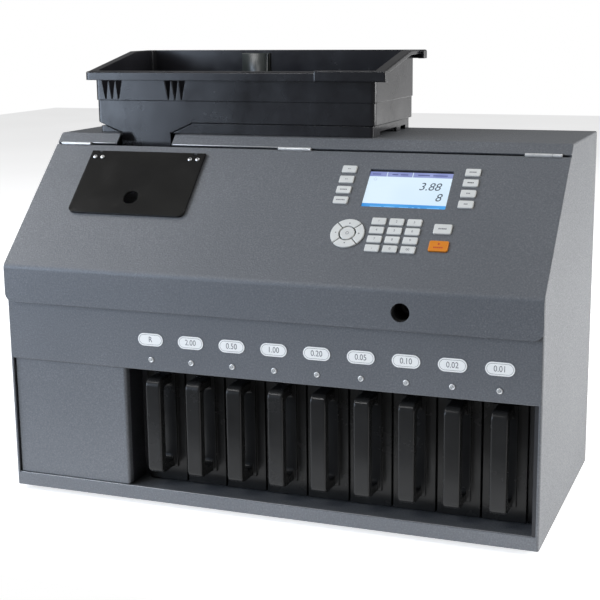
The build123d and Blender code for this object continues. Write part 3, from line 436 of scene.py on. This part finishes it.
def screw_head(radius, proud):
    """A pan head with a cross recess."""
    return turned([
        (radius * 0.5, -proud * 0.5),
        (radius, -proud * 0.5),
        (radius, proud * 0.35),
        (radius * 0.86, proud * 0.78),
        (radius * 0.55, proud),
    ], 28)


def cross_recess(radius, depth):
    """The dark cross in a screw's head."""
    long, wide = radius * 0.62, radius * 0.16
    outline = [
        (long, -wide), (long, wide), (wide, wide), (wide, long), (-wide, long), (-wide, wide),
        (-long, wide), (-long, -wide), (-wide, -wide), (-wide, -long), (wide, -long), (wide, -wide),
    ]
    return plate(outline, depth)


def screw(name, at, radius, proud, body, material=None):
    """A screw with its face outwards; at is the middle of the face that it stands on."""
    piece(name, from_bmesh(name, screw_head(radius, proud), at), material or BRIGHT, body)
    mark = at @ Matrix.Translation((0, 0, proud * 0.9))
    cross = from_bmesh(name + "_cross", cross_recess(radius, proud * 0.14), mark)
    piece(name + "_cross", cross, INK, body, smooth=False)


# ---------------------------------------------------------------- labels and lights on the fascia
LABELS = ["R", "2.00", "0.50", "1.00", "0.20", "0.05", "0.10", "0.02", "0.01"]
DRAWERS = ["reject_drawer"] + [f"coin_drawer_{i}" for i in range(1, 9)]
LABEL_WIDE, LABEL_TALL = 31 * MM, 14.5 * MM
LABEL_BORDER = 1.5 * MM
LIGHTS_ABOVE_FASCIA_FOOT = 12.9 * MM


def fascia_trim():
    plate_low, plate_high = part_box("label_plates")
    fascia_low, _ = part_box("front_fascia")
    label_z = (plate_low.z + plate_high.z) / 2
    light_z = fascia_low.z + LIGHTS_ABOVE_FASCIA_FOOT
    for drawer, text in zip(DRAWERS, LABELS):
        low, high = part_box(drawer)
        x = (low.x + high.x) / 2
        at = facing(Vector((x, plate_low.y, label_z)), FRONT, UP)
        numeral = numerals(f"numeral_{drawer}", text, 6.6 * MM, at, 0.06 * MM, narrow=0.86)
        piece(f"numeral_{drawer}", numeral, PALE_INK, "cabinet", smooth=False)
        line_wide, line_tall = LABEL_WIDE - 2 * LABEL_BORDER, LABEL_TALL - 2 * LABEL_BORDER
        line = frame_outline(line_wide, line_tall, 5.7 * MM, 0.35 * MM, 0.05 * MM)
        ring = from_bmesh(f"label_line_{drawer}", line, at)
        piece(f"label_line_{drawer}", ring, PALE_INK, "cabinet", smooth=False)
        light = facing(Vector((x, fascia_low.y, light_z)), FRONT, UP)
        ring = tube(3.2 * MM, 2.0 * MM, -0.5 * MM, 1.1 * MM, 0.5 * MM)
        bezel = from_bmesh(f"light_bezel_{drawer}", ring, light)
        piece(f"light_bezel_{drawer}", bezel, BRIGHT, "cabinet")
        dome = turned([
            (2.0 * MM, -1.5 * MM),
            (2.0 * MM, 0.4 * MM),
            (1.6 * MM, 0.9 * MM),
            (0.9 * MM, 1.2 * MM),
            (0.2 * MM, 1.3 * MM),
        ])
        lens = from_bmesh(f"light_lens_{drawer}", dome, light)
        piece(f"light_lens_{drawer}", lens, LENS, "cabinet")


LENS = satin_plastic("light lens", (0.38, 0.39, 0.39), (0.50, 0.51, 0.51), 0.12, 0.0002)
fascia_trim()


# ---------------------------------------------------------------- the display's picture
# the display's opening in the lid: x, and the distance below the hinge line
DISPLAY_LEFT, DISPLAY_RIGHT = 96.7 * MM, 191.8 * MM
DISPLAY_TOP, DISPLAY_BOTTOM = 25.6 * MM, 78.3 * MM
PAGE_MARGIN = 1.5 * MM
BEZEL_MARGIN = 2 * MM


def display():
    board_top = max((v.co - HINGE).dot(OUT) for v in NODES["control_board"].data.vertices)
    left, right = DISPLAY_LEFT, DISPLAY_RIGHT
    top, bottom = DISPLAY_TOP, DISPLAY_BOTTOM
    # just inside the face of the display module, so that nothing stands clear of it
    face = board_top - 0.18 * MM
    wide = right - left

    def panel(name, x0, x1, s0, s1, material, lift, thick=0.05 * MM):
        outline = rounded_outline(x1 - x0, s1 - s0, 0.2 * MM, 2)
        at = facing(on_lid((x0 + x1) / 2, (s0 + s1) / 2, face + lift), OUT, -DOWN)
        mesh = from_bmesh(name, plate(outline, thick), at)
        piece(name, mesh, material, "lid", smooth=False)

    lift = 0.05 * MM
    page_left, page_right = left - PAGE_MARGIN, right + PAGE_MARGIN
    page_bottom = bottom + PAGE_MARGIN
    # the page starts below the opening's top edge, so the black bezel shows as a band there: partly the display's
    # own black border, partly painted shade of the opening's top edge
    head_top, head_bottom = top + 2.0 * MM, top + 8.6 * MM
    bezel = (left - BEZEL_MARGIN, right + BEZEL_MARGIN, top - BEZEL_MARGIN, bottom + BEZEL_MARGIN)
    panel("display_bezel", *bezel, BLACK, 0.0)
    panel("display_page", page_left, page_right, head_top, page_bottom, PAGE, lift)
    panel("display_foot", page_left, page_right, bottom - 6.2 * MM, page_bottom, FOOT, 2 * lift)
    # the three parts of the head band, as shares of the opening's width
    head = [(0.0, 0.205), (0.213, 0.515), (0.523, 1.0)]
    for i, (a, b) in enumerate(head):
        x0 = left + a * wide - (PAGE_MARGIN if i == 0 else 0)
        x1 = left + b * wide + (PAGE_MARGIN if i == 2 else 0)
        panel(f"display_head_{i}", x0, x1, head_top, head_bottom, HEAD, 2 * lift)
    # soft marks that stand for the small print in the bands
    marks = [(0.03, 0.13), (0.27, 0.34), (0.37, 0.46), (0.58, 0.72), (0.76, 0.93)]
    for i, (a, b) in enumerate(marks):
        x0, x1 = left + a * wide, left + b * wide
        panel(f"display_head_mark_{i}", x0, x1, top + 4.6 * MM, top + 6.2 * MM, HEAD_MARK, 3 * lift)
    marks = [(0.10, 0.24), (0.27, 0.40), (0.45, 0.56), (0.60, 0.63), (0.67, 0.70), (0.78, 0.92)]
    for i, (a, b) in enumerate(marks):
        x0, x1 = left + a * wide, left + b * wide
        low, high = bottom - 2.6 * MM, bottom - 1.7 * MM
        panel(f"display_foot_mark_{i}", x0, x1, low, high, FOOT_MARK, 3 * lift)
    for name, text, x, down, size in (
        ("amount", "3.88", 168.2 * MM, top + 21.5 * MM, 10.8 * MM),
        ("count", "8", 180.4 * MM, top + 36.0 * MM, 10.8 * MM),
    ):
        at = facing(on_lid(x, down, face + 2 * lift), OUT, -DOWN)
        mesh = numerals(f"display_{name}", text, size, at, 0.04 * MM, slant=0.22, narrow=0.95)
        piece(f"display_{name}", mesh, DIGIT, "lid", smooth=False)
    at = facing(on_lid(left + 7.5 * MM, top + 12.5 * MM, face + 2 * lift), OUT, -DOWN)
    mesh = from_bmesh("display_ring", tube(1.9 * MM, 1.5 * MM, 0, 0.04 * MM, 0.01 * MM, 24), at)
    piece("display_ring", mesh, DIGIT_PALE, "lid", smooth=False)


PAGE = lit("display page", (0.64, 0.80, 0.93), (0.70, 0.85, 0.96), 1.0, 18)
FOOT = lit("display foot band", (0.02, 0.28, 0.74), (0.04, 0.36, 0.84), 0.95, 30)
FOOT_MARK = lit("display foot marks", (0.12, 0.45, 0.92), (0.20, 0.55, 0.98), 1.0)
HEAD = lit("display head band", (0.20, 0.24, 0.52), (0.27, 0.32, 0.62), 1.0, 50)
HEAD_MARK = lit("display head marks", (0.07, 0.09, 0.28), (0.10, 0.12, 0.36), 0.9)
DIGIT = print_ink("display digits", (0.07, 0.09, 0.12))
DIGIT_PALE = print_ink("display ring", (0.45, 0.50, 0.60))
display()


# ---------------------------------------------------------------- marks on the keys
def bars(lengths, wide, gap):
    """Short bars in a row, which stand for a printed word."""
    total = sum(lengths) + gap * (len(lengths) - 1)
    x = -total / 2
    made = []
    for length in lengths:
        made.append(((x + length / 2, 0), (length, wide)))
        x += length + gap
    return made


def mark_piece(name, shapes, node, body, material, thick=0.05 * MM, offset=(0, 0)):
    """Flat marks on the face of a key: shapes are outlines in the key's own right and up."""
    base = facing(lid_face(node) + RIGHT * offset[0] - DOWN * offset[1], OUT, -DOWN)
    bm = bmesh.new()
    for outline in shapes:
        low = [bm.verts.new((x, y, 0)) for x, y in outline]
        high = [bm.verts.new((x, y, thick)) for x, y in outline]
        bm.faces.new(low[::-1])
        bm.faces.new(high)
        for i in range(len(outline)):
            j = (i + 1) % len(outline)
            bm.faces.new((low[i], low[j], high[j], high[i]))
    piece(name, from_bmesh(name, bm, base), material, body, smooth=False)


def box_outline(centre, size):
    (x, y), (wide, tall) = centre, size
    corners = ((1, 1), (-1, 1), (-1, -1), (1, -1))
    return [(x + dx * wide / 2, y + dy * tall / 2) for dx, dy in corners]


def triangle(size, turn, centre=(0, 0)):
    return [
        (centre[0] + size * math.cos(turn + a), centre[1] + size * math.sin(turn + a))
        for a in (0, 2 * math.pi / 3, 4 * math.pi / 3)
    ]


def body_of(node):
    return node + "_body"


# lengths in millimetres of the bars that stand for the words on the right display keys
RIGHT_WORDS = {
    1: [1.4, 1.2, 1.3, 1.0, 1.3],
    2: [1.7, 1.4, 1.4, 1.2],
    3: [1.2, 1.1, 1.2],
    4: [1.1, 1.0, 1.2],
}


def number_mark(node, text):
    at = facing(lid_face(node), OUT, -DOWN)
    mesh = numerals(f"mark_{node}", text, 2.9 * MM, at, 0.05 * MM)
    piece(f"mark_{node}", mesh, PALE_INK, body_of(node), smooth=False)


def key_marks():
    for i in range(1, 5):
        left = f"left_key_{i}"
        right = f"right_key_{i}"
        if i < 3:
            shapes = [
                triangle(0.95 * MM, math.pi * (i - 1), (-0.8 * MM, 0)),
                box_outline((0.9 * MM, 0), (1.1 * MM, 0.8 * MM)),
            ]
        else:
            shapes = [box_outline(c, s) for c, s in bars([1.3 * MM] * (2 + i), 1.3 * MM, 0.4 * MM)]
        mark_piece(f"mark_{left}", shapes, left, body_of(left), PALE_INK)
        word = RIGHT_WORDS[i]
        shapes = [box_outline(c, s) for c, s in bars([w * MM for w in word], 1.4 * MM, 0.35 * MM)]
        mark_piece(f"mark_{right}", shapes, right, body_of(right), INK if i == 2 else PALE_INK)
    for text in "1234567890":
        number_mark(f"number_key_{text}", text)
    number_mark("number_key_double_zero", "00")
    node = "number_key_dot"
    dot = box_outline((0, -0.6 * MM), (0.8 * MM, 0.8 * MM))
    mark_piece(f"mark_{node}", [dot], node, body_of(node), PALE_INK)
    for way, turn in (("right", 0), ("up", 90), ("left", 180), ("down", 270)):
        node = f"arrow_{way}_key"
        arrow = triangle(1.15 * MM, math.radians(turn))
        mark_piece(f"mark_{node}", [arrow], node, body_of(node), INK)
    at = facing(lid_face("ok_key"), OUT, -DOWN)
    ring = from_bmesh("mark_ok_key", tube(1.9 * MM, 1.35 * MM, 0, 0.05 * MM, 0.01 * MM, 24), at)
    piece("mark_ok_key", ring, PALE_INK, body_of("ok_key"), smooth=False)
    word = [1.4, 1.1, 1.3, 1.5, 1.5]
    shapes = [box_outline(c, s) for c, s in bars([w * MM for w in word], 1.7 * MM, 0.5 * MM)]
    mark_piece("mark_clear_key", shapes, "clear_key", body_of("clear_key"), PALE_INK)
    shapes = [triangle(1.9 * MM, 0, (0, 2.4 * MM))]
    mark_piece("mark_start_key", shapes, "start_key", body_of("start_key"), RED_INK)
    row = bars([1.6 * MM] * 5, 1.8 * MM, 0.5 * MM)
    shapes = [box_outline((x, y - 2.2 * MM), s) for (x, y), s in row]
    mark_piece("mark_start_key_bars", shapes, "start_key", body_of("start_key"), RED_INK)


key_marks()


# ---------------------------------------------------------------- screws and the lock
def window_screws():
    low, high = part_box("window_flap")
    top = min((v.co - HINGE).dot(DOWN) for v in NODES["window_flap"].data.vertices)
    proud = max((v.co - HINGE).dot(OUT) for v in NODES["window_flap"].data.vertices)
    for i, inset in enumerate((7.0 * MM, 16.8 * MM)):
        for side, x in (("left", low.x + inset), ("right", high.x - inset)):
            at = facing(on_lid(x, top + 10.5 * MM, proud), OUT, -DOWN)
            screw(f"window_screw_{side}_{i}", at, 2.6 * MM, 1.3 * MM, "window", WHITE_METAL)


def rear_screws():
    low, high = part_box("rear_panel")
    xs = [low.x + 8 * MM + (high.x - low.x - 16 * MM) * i / 4 for i in range(5)]
    for row, z in enumerate((low.z + 8 * MM, high.z - 8 * MM)):
        for i, x in enumerate(xs):
            at = facing(Vector((x, high.y, z)), -FRONT, UP)
            screw(f"rear_screw_{row}_{i}", at, 3.4 * MM, 1.6 * MM, "cabinet")
    low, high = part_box("power_inlet")
    for i, z in enumerate((low.z + 4.2 * MM, high.z - 4.2 * MM)):
        for j, x in enumerate((low.x + 3.2 * MM, high.x - 3.2 * MM)):
            at = facing(Vector((x, high.y, z)), -FRONT, UP)
            screw(f"inlet_screw_{i}_{j}", at, 1.7 * MM, 0.8 * MM, "cabinet")


# the middle of the lid's lock hole
LOCK_X = 165.4 * MM
LOCK_ABOVE_LIP = 19.5 * MM
LOCK_SET_BACK = 1.9 * MM


def lock():
    """A black sleeve and plug behind the round hole in the lid's lip: a lock barrel whose black is painted shade,
    for the dark depth of the hole.
    """
    fascia_low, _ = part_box("front_fascia")
    lid_low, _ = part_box("lid_panel")
    place = Vector((LOCK_X, fascia_low.y + LOCK_SET_BACK, lid_low.z + LOCK_ABOVE_LIP))
    at = facing(place, FRONT, UP)
    sleeve = tube(10.7 * MM, 9.9 * MM, -28 * MM, 1.7 * MM, 0.3 * MM, 40)
    piece("lock_sleeve", from_bmesh("lock_sleeve", sleeve, at), BLACK, "cabinet")
    back = turned([
        (9.9 * MM, -28 * MM),
        (9.9 * MM, -26 * MM),
        (8.5 * MM, -25 * MM),
        (4 * MM, -24.6 * MM),
        (3.6 * MM, -26 * MM),
    ], 40)
    piece("lock_plug", from_bmesh("lock_plug", back, at), BLACK, "cabinet")


WHITE_METAL = brushed_steel("bright screw", (0.92, 0.92, 0.91), (3, 3, 3), 0.30)
window_screws()
rear_screws()
lock()


# ---------------------------------------------------------------- painted edge highlights and the tray's inside
def bar(name, start, end, across, out, material, body, slot):
    """A straight bar from start to end, across wide and out thick, with softened edges."""
    along = end - start
    side = across.normalized()
    normal = along.cross(side).normalized()
    at = Matrix((along.normalized(), side, normal)).transposed().to_4x4()
    at.translation = (start + end) / 2
    outline = rounded_outline(along.length, across.length, min(across.length * 0.3, 1.0 * MM), 3)
    piece(name, from_bmesh(name, plate(outline, out, out * 0.4), at), material, body)


def painted_edge_highlights():
    """Painted highlights: bright strips along the edges of the fixed strip above the lid and of the base's lip,
    which stand in for the light those edges catch.
    """
    edge_down = -2.1 * MM
    # the two runs of the strip's edge, left of the spout's notch and between the hinges
    for name, x0, x1 in (("left", -266.5 * MM, -236.0 * MM), ("right", -158.0 * MM, -24.0 * MM)):
        ends = on_lid(x0, edge_down, 0), on_lid(x1, edge_down, 0)
        bar(f"strip_edge_{name}", *ends, -DOWN * 1.0 * MM, 0.25 * MM, EDGE_HIGHLIGHT, "cabinet", "hinge_steel")
    low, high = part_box("base_pan")
    y = low.y + 1.2 * MM
    ends = Vector((low.x + 2 * MM, y, high.z)), Vector((high.x - 2 * MM, y, high.z))
    bar("lip_edge", *ends, Vector((0, 0.7 * MM, 0)), 0.16 * MM, EDGE_HIGHLIGHT, "cabinet", "hinge_steel")


def tray_inside():
    """The guide plate and its rib on the inner back wall of the hopper tray."""
    _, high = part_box("hopper_tray")
    back = high.y - 9.9 * MM
    top = high.z - 3.5 * MM
    for name, x, wide, thick in (
        ("guide", -125.5 * MM, 33 * MM, 1.6 * MM),
        ("rib", -106 * MM, 6 * MM, 4.0 * MM),
    ):
        ends = Vector((x, back, top)), Vector((x, back, top - 66 * MM))
        bar(f"tray_{name}", *ends, Vector((wide, 0, 0)), thick, GUIDE, "tray", "tray_plastic")


# a bright finish for thin strips along edges: a painted highlight of the light caught by those edges
EDGE_HIGHLIGHT = brushed_steel("painted edge highlight", (0.80, 0.80, 0.80), (14, 14, 14), 0.32, 0.3)
GUIDE = moulded_black("guide plastic", (0.020, 0.023, 0.021), 0.30, 300, 0.20, 0.0006)
painted_edge_highlights()
tray_inside()


# ---------------------------------------------------------------- studio
def studio():
    mesh = bpy.data.meshes.new("floor")
    corners = [(-4, -0.38, 0), (4, -0.38, 0), (4, 6, 0), (-4, 6, 0)]
    mesh.from_pydata(corners, [], [(0, 1, 2, 3)])
    floor = bpy.data.objects.new("floor", mesh)
    bpy.context.scene.collection.objects.link(floor)
    pale = new_material("pale floor", Specular_IOR_Level=0.1, Emission_Strength=0.62)
    cloud = noise(pale, 2, 2)
    vary(pale, "Base Color", cloud, [(0.3, 0.88), (0.7, 0.91)])
    vary(pale, "Emission Color", cloud, [(0.3, 0.97), (0.7, 1.0)])
    vary(pale, "Roughness", noise(pale, 30, 2), [(0.3, 0.75), (0.7, 0.85)])
    mesh.materials.append(pale)

    # a white background that gives only a soft grey light
    world = bpy.data.worlds.new("studio")
    world.use_nodes = True
    nodes = world.node_tree.nodes
    links = world.node_tree.links
    dim = nodes["Background"]
    dim.inputs["Color"].default_value = (1.0, 1.0, 1.0, 1.0)
    dim.inputs["Strength"].default_value = 0.18
    white = nodes.new("ShaderNodeBackground")
    white.inputs["Color"].default_value = (1.0, 1.0, 1.0, 1.0)
    seen = nodes.new("ShaderNodeLightPath")
    choice = nodes.new("ShaderNodeMixShader")
    links.new(seen.outputs["Is Camera Ray"], choice.inputs[0])
    links.new(dim.outputs[0], choice.inputs[1])
    links.new(white.outputs[0], choice.inputs[2])
    links.new(choice.outputs[0], nodes["World Output"].inputs["Surface"])
    bpy.context.scene.world = world

    # place, aim, size, power in watts, colour
    lights = {
        "left": ((-2.35, -1.9, 0.75), (-0.1, 0, 0.35), (2.2, 1.5), 74, (0.70, 0.82, 1.0)),
        "key": ((-0.9, -1.7, 2.1), (0, 0, 0.25), (0.9, 0.25), 10, (1.0, 1.0, 1.0)),
        "right": ((2.7, 0.75, 1.0), (0.3, 0.05, 0.25), (1.8, 1.8), 74, (1.0, 1.0, 1.0)),
        "right_back": ((1.7, 3.2, 1.0), (0.3, 0.0, 0.3), (2.2, 1.8), 7, (1.0, 1.0, 1.0)),
        "top_left": ((-2.3, -0.4, 2.1), (-0.1, 0, 0.3), (1.4, 1.4), 36, (1.0, 1.0, 1.0)),
        "top": ((0.3, 0.7, 2.6), (0, 0, 0.3), (2.0, 1.4), 10, (1.0, 1.0, 1.0)),
    }
    for name, (place, aim, (wide, tall), watts, colour) in lights.items():
        data = bpy.data.lights.new(name, "AREA")
        data.shape = "RECTANGLE"
        data.size = wide
        data.size_y = tall
        data.energy = watts
        data.color = colour
        lamp = bpy.data.objects.new(name, data)
        lamp.location = place
        lamp.rotation_euler = (Vector(aim) - Vector(place)).to_track_quat("-Z", "Y").to_euler()
        bpy.context.scene.collection.objects.link(lamp)


def camera():
    """The photograph's view, from the machine's front right and a little above it."""
    yaw, pitch, roll = (math.radians(angle) for angle in (21.074, 12.158, -0.675))
    right = Vector((math.cos(yaw), math.sin(yaw), 0))
    level = Vector((-math.sin(yaw), math.cos(yaw), 0))
    forward = level * math.cos(pitch) - UP * math.sin(pitch)
    up = UP * math.cos(pitch) + level * math.sin(pitch)
    rolled_right = right * math.cos(roll) + up * math.sin(roll)
    rolled_up = up * math.cos(roll) - right * math.sin(roll)
    data = bpy.data.cameras.new("camera")
    data.sensor_width = 36
    data.lens = 78.65
    obj = bpy.data.objects.new("camera", data)
    place = Matrix((rolled_right, rolled_up, -forward)).transposed().to_4x4()
    place.translation = (0.5457, -1.4363, 0.5523)
    obj.matrix_world = place
    bpy.context.scene.collection.objects.link(obj)
    bpy.context.scene.camera = obj


studio()
camera()
bpy.context.scene.view_settings.view_transform = "Standard"
